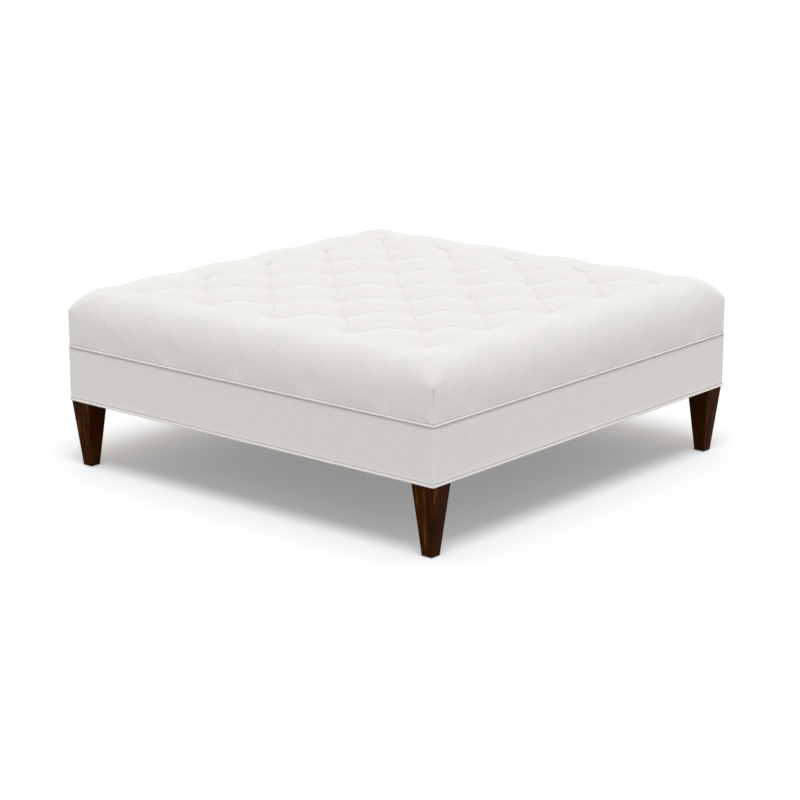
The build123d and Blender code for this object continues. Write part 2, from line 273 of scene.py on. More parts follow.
@dataclass(frozen=True)
class SlubLinen(TonedFinish):
    """Off-white linen-look weave with slubs, which gives short soft streaks along the weft."""

    light: str = "#EFEDEA"
    dark: str = "#E4E2DE"
    tone_stops: tuple[float, ...] = (0.32, 0.68)
    roughness: float = 0.92
    bump_strength: float = 0.55
    thread: Thread = Thread.STRAIGHT
    slub_length: float = 0.015
    slub_width: float = 0.0024  # a yarn is about 0.8 mm, drawn wide enough to show
    yarn_pitch: float = 0.0016  # real pitch about 0.8 mm, drawn twice as wide to show
    warp_share: float = 0.25
    yarn_share: float = 0.35

    def shade(self, tree: bpy.types.NodeTree) -> dict[str, Any]:
        """Build the weave from its slubs and yarns.

        Args:
            tree: Node tree of the material.

        Returns:
            The sockets of the shader.
        """
        cloth = add_node(tree, "ShaderNodeUVMap", uv_map=CLOTH_MAP)
        turned = add_node(
            tree,
            "ShaderNodeMapping",
            {0: cloth.outputs[0], "Rotation": (0, 0, math.radians(self.thread.value))},
        )
        layers = []
        for length, width, detail, roughness in (
            (self.slub_length, self.slub_width, 3.0, 0.6),
            (self.slub_width, self.slub_length, 2.0, 0.5),
            (self.yarn_pitch, self.yarn_pitch, 1.0, 0.5),
        ):
            run = add_node(
                tree,
                "ShaderNodeMapping",
                {0: turned.outputs[0], "Scale": (1 / length, 1 / width, 1)},
            )
            layer = add_node(
                tree,
                "ShaderNodeTexNoise",
                {"Vector": run.outputs[0], "Scale": 1.0, "Detail": detail, "Roughness": roughness},
            )
            layers.append(layer.outputs["Fac"])
        weft, warp, yarns = layers
        slubs = add_node(tree, "ShaderNodeMix", {0: self.warp_share, 2: weft, 3: warp}).outputs[0]
        relief = add_node(tree, "ShaderNodeMix", {0: self.yarn_share, 2: slubs, 3: yarns})
        return {
            **self.follow(tree, slubs, relief.outputs[0]),
            "Specular IOR Level": 0.25,
            "Diffuse Roughness": 0.75,
        }


@dataclass(frozen=True)
class StainedWalnut(TonedFinish):
    """Walnut under a dark stain and satin lacquer: nearly black, with warmer streaks of grain."""

    dark: str = "#1F0B02"
    body: str = "#381B04"
    light: str = "#643E10"
    tone_stops: tuple[float, ...] = (0.36, 0.5, 0.57, 0.68)
    roughness: float = 0.5
    bump: float = 0.0003
    bump_strength: float = 0.25
    grain_width: float = 0.004
    grain_length: float = 0.14
    streak_width: float = 0.011
    streak_length: float = 0.4
    pore_width: float = 0.0009  # real pores are about 0.3 mm wide, drawn coarser to show
    pore_length: float = 0.02
    streak_share: float = 0.6

    def tones(self) -> tuple[str, ...]:
        """Return the stain's colours, of which the body's holds over two stops."""
        return (self.dark, self.body, self.body, self.light)

    def shade(self, tree: bpy.types.NodeTree) -> dict[str, Any]:
        """Build the grain, which runs up the leg.

        Args:
            tree: Node tree of the material.

        Returns:
            The sockets of the shader.
        """
        place = add_node(tree, "ShaderNodeTexCoord")
        layers = []
        for width, length, detail, roughness, distortion in (
            (self.grain_width, self.grain_length, 4.0, 0.55, 0.6),
            (self.streak_width, self.streak_length, 1.0, 0.5, 0.0),
            (self.pore_width, self.pore_length, 2.0, 0.5, 0.0),
        ):
            run = add_node(
                tree,
                "ShaderNodeMapping",
                {0: place.outputs["Object"], "Scale": (1 / width, 1 / width, 1 / length)},
            )
            layer = add_node(
                tree,
                "ShaderNodeTexNoise",
                {
                    "Vector": run.outputs[0],
                    "Scale": 1.0,
                    "Detail": detail,
                    "Roughness": roughness,
                    "Distortion": distortion,
                },
            )
            layers.append(layer.outputs["Fac"])
        grain, streaks, pores = layers
        figure = add_node(tree, "ShaderNodeMix", {0: self.streak_share, 2: grain, 3: streaks})
        return {**self.follow(tree, figure.outputs[0], pores), "Specular IOR Level": 0.02}


@dataclass(frozen=True)
class PlainTimber(TonedFinish):
    """Sawn and planed timber without a finish: straight grain in two near tones."""

    light: str = "#D3AE7C"
    dark: str = "#B08450"
    roughness: float = 0.7
    bump: float = 0.0004
    bump_strength: float = 0.3
    grain: tuple[float, float, float] = (0.004, 0.004, 0.09)

    def shade(self, tree: bpy.types.NodeTree) -> dict[str, Any]:
        """Build the grain.

        Args:
            tree: Node tree of the material.

        Returns:
            The sockets of the shader.
        """
        place = add_node(tree, "ShaderNodeTexCoord")
        run = add_node(
            tree,
            "ShaderNodeMapping",
            {0: place.outputs["Object"], "Scale": tuple(1 / size for size in self.grain)},
        )
        grain = add_node(
            tree,
            "ShaderNodeTexNoise",
            {"Vector": run.outputs[0], "Scale": 1.0, "Detail": 5.0, "Distortion": 0.4},
        )
        return self.follow(tree, grain.outputs["Fac"], grain.outputs["Fac"])


@dataclass(frozen=True)
class SoftFill(TonedFinish):
    """Foam, fibre, twine or plain cloth: one tone, broken by its cells or fibres."""

    cell: float = 0.002  # real cells and fibres are finer, drawn coarser to show

    def shade(self, tree: bpy.types.NodeTree) -> dict[str, Any]:
        """Build the cells.

        Args:
            tree: Node tree of the material.

        Returns:
            The sockets of the shader.
        """
        place = add_node(tree, "ShaderNodeTexCoord")
        cells = add_node(
            tree,
            "ShaderNodeTexNoise",
            {"Vector": place.outputs["Object"], "Scale": 1 / self.cell, "Detail": 3.0},
        )
        return self.follow(tree, cells.outputs["Fac"], cells.outputs["Fac"])


@dataclass(frozen=True)
class PlatedSteel(Finish):
    """Plated steel, turned or pressed: grey metal with faint uneven gloss."""

    tone: str = "#C9C7C0"
    roughness_low: float = 0.28
    roughness_high: float = 0.48
    haze_size: float = 0.0025  # the plating's clouds are a few millimetres across

    def shade(self, tree: bpy.types.NodeTree) -> dict[str, Any]:
        """Build the uneven gloss.

        Args:
            tree: Node tree of the material.

        Returns:
            The sockets of the shader.
        """
        place = add_node(tree, "ShaderNodeTexCoord")
        haze = add_node(
            tree,
            "ShaderNodeTexNoise",
            {"Vector": place.outputs["Object"], "Scale": 1 / self.haze_size, "Detail": 2.0},
        )
        gloss = add_node(
            tree,
            "ShaderNodeMapRange",
            {0: haze.outputs["Fac"], 3: self.roughness_low, 4: self.roughness_high},
        )
        return {"Base Color": linear(self.tone), "Metallic": 1.0, "Roughness": gloss.outputs[0]}


# Linen-look weave: a dull off-white, broken by the slubs' short soft streaks, without a shine.
COVER_LINEN = SlubLinen("slub_linen_cover")
# The same weave cut on the bias: its streaks wind round the cord, and its light tone is painted a
# touch paler than the cover's, a painted highlight where the round cord catches the light.
BIAS_LINEN_PAINTED_HIGHLIGHT = SlubLinen("slub_linen_bias_painted_highlight", thread=Thread.BIAS, light="#F1EFEC", dark="#E3E1DD")
# Stained walnut: nearly black brown, with warmer streaks up the leg and hardly a gleam.
WALNUT = StainedWalnut("stained_walnut")
# Planed softwood: pale and dry, with straight soft grain and no polish.
FRAME_TIMBER = PlainTimber("planed_softwood", grain=(0.05, 0.05, 0.004))
# Plywood: tan and dry, with the broad figure of a peeled veneer.
DECK_PLY = PlainTimber("plywood_face", light="#C9A87C", dark="#A98456", grain=(0.12, 0.006, 0.0015))
# Polyurethane foam: flat pale yellow, pitted by its open cells.
FOAM = SoftFill("pale_foam", light="#F0E6C4", dark="#E2D5A8", cell=0.0015)
# Bonded polyester fibre: cool white and soft, mottled like felt.
FIBRE = SoftFill("bonded_fibre", light="#F6F6F4", dark="#E6E6E3", cell=0.004)
# Spun-bonded cloth: a dead black that a fine fibre speckle keeps from looking painted.
DUST_CLOTH = SoftFill(
    "spun_bonded_black", light="#26262A", dark="#151517", cell=0.0012, bump=0.0002
)
# Waxed twine: straw coloured, darker in its twist.
TWINE = SoftFill("waxed_twine", light="#D8CBA6", dark="#B6A67C", cell=0.0006)
# Jute webbing: coarse brown, in uneven dark and light threads.
WEBBING = SoftFill("jute_webbing", light="#A07E52", dark="#765936", cell=0.001)
# Zinc-plated steel: light grey metal with a cloudy, broken gloss.
ZINC_STEEL = PlatedSteel("zinc_plated_steel")
# Nickel-plated steel: the same gloss on a warmer grey.
GLIDE_STEEL = PlatedSteel("nickel_plated_steel", tone="#BDB9B0")


def lay_panel(
    mesh: bmesh.types.BMesh,
    columns: int,
    rows: int,
    lay: Callable[[float, float], Place],
) -> None:
    """Lay a flat panel of cloth over its padding.

    Args:
        mesh: Mesh that gets the panel.
        columns: Number of faces across the panel.
        rows: Number of faces down the panel.
        lay: Gives the place in space and on the flat cloth, in metres, of a point at a
            share across and a share down the panel.
    """
    cloth = mesh.loops.layers.uv.verify()
    made = bmesh.ops.create_grid(mesh, x_segments=columns, y_segments=rows, size=1.0)["verts"]
    flat = {}
    for vert in made:
        vert.co, flat[vert] = lay((vert.co.x + 1) / 2, (vert.co.y + 1) / 2)
    for face in {face for vert in made for face in vert.link_faces}:
        for loop in face.loops:
            loop[cloth].uv = flat[loop.vert]


def finish_piece(mesh: bmesh.types.BMesh, name: str, finish: Finish) -> bpy.types.Object:
    """Turn a bmesh into a smooth shaded object with its finish.

    Args:
        mesh: The finished mesh, which is freed.
        name: Name of the new piece.
        finish: Finish of the piece.

    Returns:
        The new object, linked to the scene.
    """
    for face in mesh.faces:
        face.smooth = True
    data = bpy.data.meshes.new(name)
    mesh.to_mesh(data)
    mesh.free()
    if CLOTH_MAP not in data.uv_layers and data.uv_layers:
        data.uv_layers[0].name = CLOTH_MAP
    data.materials.append(finish.material())
    piece = bpy.data.objects.new(name, data)
    bpy.context.scene.collection.objects.link(piece)
    return piece


@dataclass
class ClothPass:
    """A short cloth simulation, in which a cover swells against all that holds it."""

    pressure: float = 4.0
    frames: int = 20
    quality: int = 4
    cap: float = 0.004

    def swell(self, mesh: bmesh.types.BMesh, hold: Callable[[Vector], float]) -> None:
        """Run the simulation on a copy of an open cover, and write its result back.

        Args:
            mesh: The cover, whose faces point outward.
            hold: How firmly a place of the cover is held, from 0 to 1.
        """
        mesh.verts.index_update()
        data = bpy.data.meshes.new("swelling_cover")
        mesh.to_mesh(data)
        trial = bpy.data.objects.new("swelling_cover", data)
        scene = bpy.context.scene
        scene.collection.objects.link(trial)
        held = trial.vertex_groups.new(name="held")
        for vert in mesh.verts:
            held.add([vert.index], hold(vert.co), "REPLACE")
        cloth = trial.modifiers.new("swelling", "CLOTH")
        cloth.settings.vertex_group_mass = held.name
        cloth.settings.use_pressure = True
        cloth.settings.uniform_pressure_force = self.pressure
        cloth.settings.effector_weights.gravity = 0.0
        cloth.settings.quality = self.quality
        cloth.collision_settings.use_collision = False
        for frame in range(1, self.frames + 1):
            scene.frame_set(frame)
        swollen = trial.evaluated_get(bpy.context.evaluated_depsgraph_get()).data
        farthest = 0.0
        for vert, after in zip(mesh.verts, swollen.vertices):
            move = after.co - vert.co
            if move.length > self.cap:
                move *= self.cap / move.length
            farthest = max(farthest, move.length)
            vert.co += move
        log.info("the cloth pass moved the cover by up to %.1f mm", farthest * 1000)
        bpy.data.objects.remove(trial)
        bpy.data.meshes.remove(data)
        scene.frame_set(1)


@dataclass
class TuftedCushion:
    """The tufted cushion: cloth over fibre and foam, tied down at every tuft."""

    # The plan: a square, whose tufts stand in rows of five and, between them, of four.
    half_width: float = 0.5328
    corner_radius: float = 0.007
    tuft_row: float = 0.416
    gaps: int = 4
    # The puffs of the field. A pleat's level lies between its tufts' and the puffs'.
    tuft_level: float = 0.4043
    outer_drop: float = 0.0030
    outer_reach: float = 0.12
    pleat_rise: float = 0.0098
    puff_power: float = 2.0
    waviness: float = 0.7
    valley_depth: float = 0.0012
    valley_width: float = 0.006
    # The dimple round a tuft. An outer one is cut short by a lip in the border.
    dimple_depth: float = 0.0092
    dimple_radius: float = 0.024
    lip_steepness: float = 4.4
    lip_breadth: float = 0.6
    lip_reach: float = 0.006
    # The fold along a pleat, which starts shallow at a tuft and drifts past it.
    fold_depth: float = 0.0024
    fold_width: float = 0.0011
    fold_start: float = 0.1
    fold_start_depth: float = 0.35
    fold_fade: float = 0.03
    ridge_height: float = 0.0004
    ridge_place: float = 0.0055
    ridge_width: float = 0.0016
    drift: float = 0.0006
    drift_start: float = 0.09
    drift_reach: float = 0.32
    # The border's section: a crest, the rolled edge and the side down to the hem.
    crest_inset: float = 0.055
    hip_inset: float = 0.041
    crest_power: float = 1.25
    crest_puff_level: float = 0.4133
    crest_pleat_level: float = 0.4085
    bulge_level: float = 0.337
    hip_bulge_level: float = 0.353
    hem_level: float = 0.2832
    puff_bulge: float = 0.0012
    pleat_bulge: float = 0.0008
    soften: float = 0.009  # over this distance from a pleat the puffs start gently
    hem_proud: float = 0.0007
    hem_power: int = 4
    roll_power: float = 2.4
    hip_power: float = 2.15
    roll_fullness: float = 1.1
    # The crease of a straight pleat, which starts part of the way round the rolled edge.
    crease_depth: float = 0.0004
    crease_width: float = 0.0013
    crease_start: float = 0.4
    # The corners: a seam that runs up into a slight ridge on the hip, under a fuller nose.
    corner_fullness: float = 0.85
    corner_power: float = 1.5
    seam_depth: float = 0.0046
    seam_width: float = 0.0014
    seam_level: float = 0.358
    seam_start: float = 0.004
    seam_fade: float = 0.4
    hip_ridge: float = 0.0010
    hip_ridge_width: float = 0.007
    hip_ridge_start: float = 0.5
    hip_ridge_fade: float = 0.012
    hip_sharpening: float = 5.0
    nose_radius: float = 0.018
    nose_height: float = 0.026
    # The panels' faces, which crowd at the pleats and at the hips.
    puff_segments: int = 24
    top_rows: int = 18
    roll_rows: int = 24
    side_rows: int = 12
    corner_columns: int = 14
    hip_columns: tuple[float, ...] = (0.25, 0.5, 0.7, 0.84, 0.93)
    weld: float = 0.00012  # the panels' seams close over this distance
    # How firmly the cover is held in the cloth pass, and over what widths.
    pleat_grip: float = 0.005
    side_pleat_hold: float = 0.6
    field_margin: float = 0.001
    hem_grip: float = 0.012
    seam_hold: float = 1.6
    seam_margin: float = 0.01
    # The hollow that the fibre and the foam fill.
    cavity_inset: float = 0.0055
    cavity_bevel: float = 0.0223
    cavity_level: float = 0.3915
    # The unevenness of stuffed cloth: broad lumps and fine ones, by their number in a
    # metre, which fade over the last stretch above the hem.
    unevenness: float = 0.0005
    lumps: float = 14.0
    fine_lumps: float = 37.0
    fine_share: float = 0.5
    smooth_hem: float = 0.02

    @property
    def pitch(self) -> float:
        """Distance between the tufts of a row."""
        return 2 * self.tuft_row / self.gaps

    @property
    def side(self) -> float:
        """Side of a diamond."""
        return self.pitch / math.sqrt(2)

    @property
    def border(self) -> float:
        """Width of the border outside the outer tufts."""
        return self.half_width - self.tuft_row

    @property
    def rows(self) -> int:
        """Rows of faces down the border."""
        return self.top_rows + self.roll_rows + self.side_rows

    def swell(self, share: float) -> float:
        """Height of a puff at a share of its width, from 0 at a pleat to 1."""
        arc = 1 - abs(2 * share - 1) ** self.puff_power
        return mix(arc, math.sin(math.pi * share) ** 2, self.waviness)

    def spread(self, share: float) -> float:
        """Crowd evenly spaced shares towards both pleats.

        Args:
            share: Share of the way from one pleat to the next.

        Returns:
            The share after crowding.
        """
        crowded = 2 * nearer(share) * nearer(share)
        return crowded if share < 0.5 else 1 - crowded

    def padding_level(self, across: float, along: float, inside: float) -> float:
        """Level of the padding below the cloth, without its dimples and folds.

        Args:
            across: Share of the puff from one pleat to the next.
            along: The same, across the other pair of pleats.
            inside: Distance in from the outer row of tufts.

        Returns:
            The level in metres.
        """
        drop = self.outer_drop * (1 - smooth_step(inside / self.outer_reach))
        return self.tuft_level - drop + self.pleat_rise * (self.swell(across) + self.swell(along))

    def valley(self, across: float, along: float) -> float:
        """Depth of the soft valleys along the two pleats nearest to a point of the field.

        Args:
            across: Share of the puff from one pleat to the next.
            along: The same, across the other pair of pleats.

        Returns:
            The depth in metres.
        """
        depth = 0.0
        for share in (across, along):
            depth += self.valley_depth * bell(nearer(share) * self.side, self.valley_width)
        return depth

    def dimple(self, off_x: float, off_y: float) -> float:
        """Depth of the dimple round a tuft, at a place off the tuft."""
        return self.dimple_depth * bell(math.hypot(off_x, off_y), self.dimple_radius)

    def lip(self, outward: float, aside: float) -> float:
        """Depth of an outer tuft's dimple in the border, whose cloth rises steeply to a lip.

        Args:
            outward: Distance from the tuft away from the middle of the cushion.
            aside: Distance from the tuft square to that.

        Returns:
            The depth in metres.
        """
        leave = smooth_step(outward / self.lip_reach)
        return self.dimple(
            aside * mix(1, self.lip_breadth, leave), outward * mix(1, self.lip_steepness, leave)
        )

    def fold(self, across: float, along: float) -> float:
        """Depth of the fold along a pleat, with the slight ridge of its hidden layer.

        Args:
            across: Share of the puff from the pleat.
            along: Share along the pleat, from tuft to tuft.

        Returns:
            The depth, which is below 0 on the ridge.
        """
        gap = (across if across < 0.5 else across - 1) * self.side
        end = smooth_step(nearer(along) / self.fold_start)
        groove = self.fold_depth * bell(gap, self.fold_width)
        ridge = self.ridge_height * bell(gap - self.ridge_place, self.ridge_width)
        return groove * mix(self.fold_start_depth, 1, end) - ridge * end

    def pleat_drift(self, along: float, off: float) -> float:
        """Sideways drift of the cloth at a pleat, which passes beside the tufts at its ends.

        Args:
            along: Share along the pleat, from tuft to tuft.
            off: Share of the puff between the point and the pleat.

        Returns:
            The drift as a share of the puff's side.
        """
        start = smooth_step(nearer(along) / self.drift_start)
        reach = max(0.0, 1 - nearer(off) / self.drift_reach)
        return self.drift / self.side * (2 * along - 1) * start * reach * reach

    def field_point(self, flat_x: float, flat_y: float) -> Vector:
        """Place of a point of the field, inside the outer tufts.

        Args:
            flat_x: Place on the flat lattice, along X.
            flat_y: Place on the flat lattice, along Y.

        Returns:
            The point in metres.
        """
        first, second = (flat_x + flat_y) / self.pitch, (flat_y - flat_x) / self.pitch
        one, two = (max(0.0, place - puff_number(place)) for place in (first, second))
        inside = self.tuft_row - max(abs(flat_x), abs(flat_y))
        fade = smooth_step(inside / self.fold_fade)
        slip_one = self.pleat_drift(two, one) * fade
        slip_two = -self.pleat_drift(one, two) * fade
        half = self.pitch / 2
        level = self.padding_level(one, two, inside)
        level -= self.dimple(nearer(one) * self.side, nearer(two) * self.side)
        level -= fade * (self.valley(one, two) + self.fold(one, two) + self.fold(two, one))
        return Vector(
            (flat_x + half * (slip_one - slip_two), flat_y + half * (slip_one + slip_two), level)
        )

    def add_field(self, mesh: bmesh.types.BMesh) -> None:
        """Add the diamonds inside the outer tufts.

        Args:
            mesh: Mesh that gets the field.
        """
        cloth = mesh.loops.layers.uv.verify()
        cells = 2 * self.gaps * self.puff_segments
        made = bmesh.ops.create_grid(mesh, x_segments=cells, y_segments=cells, size=self.gaps)
        half = self.pitch / 2
        for vert in made["verts"]:
            first, second = (
                puff_number(place) + self.spread(place - puff_number(place))
                for place in (vert.co.x, vert.co.y)
            )
            vert.co = Vector((half * (first - second), half * (first + second), 0))
        for normal in ((1, 0, 0), (-1, 0, 0), (0, 1, 0), (0, -1, 0)):
            bmesh.ops.bisect_plane(
                mesh,
                geom=mesh.verts[:] + mesh.edges[:] + mesh.faces[:],
                dist=TOUCHING,
                plane_co=Vector(normal) * self.tuft_row,
                plane_no=normal,
                clear_outer=True,
            )
        for face in mesh.faces:
            for loop in face.loops:
                loop[cloth].uv = loop.vert.co.xy
        for vert in mesh.verts:
            vert.co = self.field_point(vert.co.x, vert.co.y)

    def edge_section(
        self, down: float, fullness: float, start_level: float, off_hip: float = 1.0
    ) -> tuple[float, float, float]:
        """Section of the border, from the outer tufts over the rolled edge to the hem.

        Args:
            down: Share of the way down the section's rows.
            fullness: 0 at a pleat and 1 in the middle of a puff.
            start_level: Level of the section's start on the row of tufts.
            off_hip: Share of the way from a corner's hip to its straight sides.

        Returns:
            How far the point lies outside the row, its level, and how far it is along
            the cloth.
        """
        row = down * self.rows
        side = smooth_step(off_hip) ** 2
        crest = self.border - mix(self.hip_inset, self.crest_inset, side)
        crest_level = mix(self.crest_pleat_level, self.crest_puff_level, fullness)
        bulge = mix(self.pleat_bulge, self.puff_bulge, fullness)
        bulge_level = mix(self.hip_bulge_level, self.bulge_level, side)
        if row <= self.top_rows:
            share = (row / self.top_rows) ** self.crest_power
            climb = 1 - (1 - share) ** 2
            rise = climb * (1 - fullness) + smooth_step(share) * fullness
            return crest * share, mix(start_level, crest_level, rise), crest * share
        run = math.hypot(self.border - crest, crest_level - bulge_level) * self.roll_fullness
        if row <= self.top_rows + self.roll_rows:
            share = self.rolled(down)
            angle = share * QUARTER
            power = 2 / mix(self.hip_power, self.roll_power, side)
            out = crest + (self.border + bulge - crest) * math.sin(angle) ** power
            drop = 1 - max(0.0, math.cos(angle)) ** power
            return out, mix(crest_level, bulge_level, drop), crest + run * share
        share = (row - self.top_rows - self.roll_rows) / self.side_rows
        level = mix(bulge_level, self.hem_level, share)
        out = self.border + bulge * (1 - share * share) + self.hem_proud * share**self.hem_power
        return out, level, crest + run + bulge_level - level

    def rolled(self, down: float) -> float:
        """Share of the way round the rolled edge, below 0 before it and over 1 past it."""
        return (down * self.rows - self.top_rows) / self.roll_rows

    def press(self, down: float, dent: float) -> tuple[float, float]:
        """Turn a dent square to the border's section there.

        Args:
            down: Share of the way down the section's rows.
            dent: Depth of the dent.

        Returns:
            How far the dent goes inward, and how far down.
        """
        lean = min(1.0, max(0.0, self.rolled(down))) * QUARTER
        return dent * math.sin(lean), dent * math.cos(lean)

    def crease(self, down: float, gap: float) -> float:
        """Depth of a straight pleat's crease in the border.

        Args:
            down: Share of the way down the section's rows.
            gap: Distance from the pleat.

        Returns:
            The depth in metres.
        """
        start = smooth_step(self.rolled(down) / self.crease_start)
        return self.crease_depth * start * bell(gap, self.crease_width)

    def side_point(self, turn: int, across: float, down: float) -> Place:
        """Place of a point of one side of the border.

        Args:
            turn: Number of quarter turns from the front.
            across: Share across the side, from tuft to tuft.
            down: Share down the side's rows.

        Returns:
            The point, and its place on the flat cloth.
        """
        puff = min(self.gaps - 1, puff_number(across * self.gaps))
        share = self.spread(across * self.gaps - puff)
        along = -self.tuft_row + self.pitch * (puff + share)
        gap = nearer(share) * self.pitch
        eased = math.hypot(gap, self.soften) - self.soften
        start = self.padding_level(share, 1 - share, 0.0)
        out, level, cloth = self.edge_section(down, self.swell(eased / self.pitch), start)
        if across * self.gaps < 0.5 or across * self.gaps > self.gaps - 0.5:
            level -= self.lip((out - gap) / math.sqrt(2), (out + gap) / math.sqrt(2))
        else:
            level -= self.lip(out, gap)
        inward, sunk = self.press(down, self.crease(down, gap))
        place = Vector((along, -self.tuft_row - (out - inward), level - sunk))
        return quarter_turns(turn, place), (along, -self.tuft_row - cloth)

    def corner_reach(self, angle: float, out: float, tip_radius: float) -> float:
        """Reach of a corner's ring from the corner tuft, in a direction.

        Args:
            angle: Direction in radians from the side's outward direction.
            out: How far the ring lies outside the row of tufts on the straight sides.
            tip_radius: Radius of the corner where the ring is at its widest.

        Returns:
            The distance from the tuft to the ring.
        """
        sharp = min(1.0, out / self.border) ** self.hip_sharpening
        radius = out * (1 - sharp) + min(tip_radius, out) * sharp
        flat = out - radius
        turned = min(angle, QUARTER - angle)
        straight = out / math.cos(turned)
        if straight * math.sin(turned) <= flat:
            return straight
        middle = flat * (math.sin(turned) + math.cos(turned))
        return middle + math.sqrt(max(0.0, middle**2 - 2 * flat * flat + radius * radius))

    def corner_steps(self) -> list[float]:
        """Directions of a corner's columns, crowded at the pleats and the hip.

        Returns:
            The angles in radians from one pleat over the hip to the other.
        """
        flat = self.border - self.corner_radius
        count = self.corner_columns
        shares = [self.spread(column / count) for column in range(count + 1)]
        half = [math.atan2(flat * share, self.border) for share in shares]
        arc = half[-1]
        half += [mix(arc, EIGHTH, share) for share in self.hip_columns]
        return half + [EIGHTH] + [QUARTER - angle for angle in reversed(half)]

    def hip_dent(self, down: float, level: float, gap: float) -> float:
        """Depth of a corner's seam, less the slight ridge on the hip above it.

        Args:
            down: Share of the way down the corner's rows.
            level: Level of the point.
            gap: Distance from the hip.

        Returns:
            The depth, which is below 0 on the ridge.
        """
        below = self.seam_level - level
        seam = smooth_step(below / self.seam_start)
        seam *= 1 - self.seam_fade * smooth_step(below / (self.seam_level - self.hem_level))
        ridge = smooth_step(self.rolled(down) / self.hip_ridge_start)
        ridge *= smooth_step(-below / self.hip_ridge_fade)
        groove = self.seam_depth * seam * bell(gap, self.seam_width)
        return groove - self.hip_ridge * ridge * bell(gap, self.hip_ridge_width)

    def corner_point(self, turn: int, steps: Sequence[float], across: float, down: float) -> Place:
        """Place of a point of one corner of the border.

        Args:
            turn: Number of quarter turns from the front right corner.
            steps: Directions of the columns.
            across: Share across the corner's columns.
            down: Share down the corner's rows.

        Returns:
            The point, and its place on the flat cloth.
        """
        angle = pick(steps, across)
        turned = angle - EIGHTH
        off_hip = abs(turned) / EIGHTH
        fullness = self.corner_fullness * (1 - off_hip**2) ** self.corner_power
        start = self.padding_level(0.0, 0.0, 0.0)
        out, level, cloth = self.edge_section(down, fullness, start, off_hip)
        above = smooth_step((level - self.seam_level) / self.nose_height)
        tip_radius = self.corner_radius + self.nose_radius * above
        reach = self.corner_reach(angle, min(out, self.border), tip_radius)
        reach += max(0.0, out - self.border)
        level -= self.lip(reach * math.cos(turned), reach * math.sin(turned))
        dent = self.crease(down, reach * math.sin(min(angle, QUARTER - angle)))
        dent += self.hip_dent(down, level, reach * abs(turned))
        inward, sunk = self.press(down, dent)
        reach -= inward
        right, front = reach * math.sin(angle), reach * math.cos(angle)
        place = Vector((self.tuft_row + right, -self.tuft_row - front, level - sunk))
        flat = -self.tuft_row - front if angle > EIGHTH else self.tuft_row + right
        return quarter_turns(turn, place), (flat, -self.tuft_row - cloth)

    def hold(self, spot: Vector) -> float:
        """How firmly the tufts, pleats, corner seams and hem hold a place of the cover.

        Args:
            spot: Place on the cover.

        Returns:
            A share from 0, free, to 1, held.
        """
        x, y = abs(spot.x), abs(spot.y)
        if max(x, y) <= self.tuft_row + self.field_margin:
            places = ((x + y) / self.pitch, (x - y) / self.pitch)
            gap = min(nearer(place - math.floor(place)) for place in places) * self.side
            return bell(gap, self.pleat_grip)
        place = (min(x, y) + self.tuft_row) / self.pitch
        gap = nearer(place - math.floor(place)) * self.pitch
        pleat = self.side_pleat_hold * bell(gap, self.pleat_grip)
        hem = 1 - smooth_step((spot.z - self.hem_level) / self.hem_grip)
        seam = 0.0
        if min(x, y) > self.tuft_row and spot.z < self.seam_level + self.seam_margin:
            seam = min(1.0, self.seam_hold * bell(x - y, self.pleat_grip))
        return max(pleat, hem, seam)

    def close_hem(self, mesh: bmesh.types.BMesh) -> None:
        """Turn the hem in and line the hollow, so that the cover is one closed shell.

        Args:
            mesh: The cover's open mesh.
        """
        wall = self.half_width - self.cavity_inset
        rim = [edge for edge in mesh.edges if edge.is_boundary]
        for width, level in (
            (wall, self.hem_level),
            (wall, self.cavity_level - self.cavity_bevel),
            (wall - self.cavity_bevel, self.cavity_level),
        ):
            made = bmesh.ops.extrude_edge_only(mesh, edges=rim)["geom"]
            verts = [item for item in made if isinstance(item, bmesh.types.BMVert)]
            rim = [item for item in made if isinstance(item, bmesh.types.BMEdge)]
            reach = max(abs(vert.co.x) for vert in verts)
            for vert in verts:
                vert.co = Vector((vert.co.x * width / reach, vert.co.y * width / reach, level))
        bmesh.ops.edgeloop_fill(mesh, edges=rim)

    def roughen(self, mesh: bmesh.types.BMesh) -> None:
        """Give the cover the slight unevenness of stuffed cloth.

        Args:
            mesh: The cover's open mesh.
        """
        for vert in mesh.verts:
            uneven = noise.noise(vert.co * self.lumps)
            uneven += self.fine_share * noise.noise(vert.co * self.fine_lumps)
            fade = smooth_step((vert.co.z - self.hem_level) / self.smooth_hem)
            vert.co += vert.normal * uneven * self.unevenness * fade

    def build(self) -> bpy.types.Object:
        """Build the cover and put it in place of the soft solid below it.

        Returns:
            The cushion's cover.
        """
        mesh = bmesh.new()
        self.add_field(mesh)
        columns = self.gaps * self.puff_segments
        steps = self.corner_steps()
        for turn in range(4):
            lay_panel(mesh, columns, self.rows, partial(self.side_point, turn))
            lay_panel(mesh, len(steps) - 1, self.rows, partial(self.corner_point, turn, steps))
        bmesh.ops.remove_doubles(mesh, verts=mesh.verts[:], dist=self.weld)
        bmesh.ops.recalc_face_normals(mesh, faces=mesh.faces[:])
        ClothPass().swell(mesh, self.hold)
        mesh.normal_update()
        self.roughen(mesh)
        self.close_hem(mesh)
        bmesh.ops.recalc_face_normals(mesh, faces=mesh.faces[:])
        cover = finish_piece(mesh, "cushion_cover", COVER_LINEN)
        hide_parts("tufted_cover")
        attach(cover, "root")
        return cover


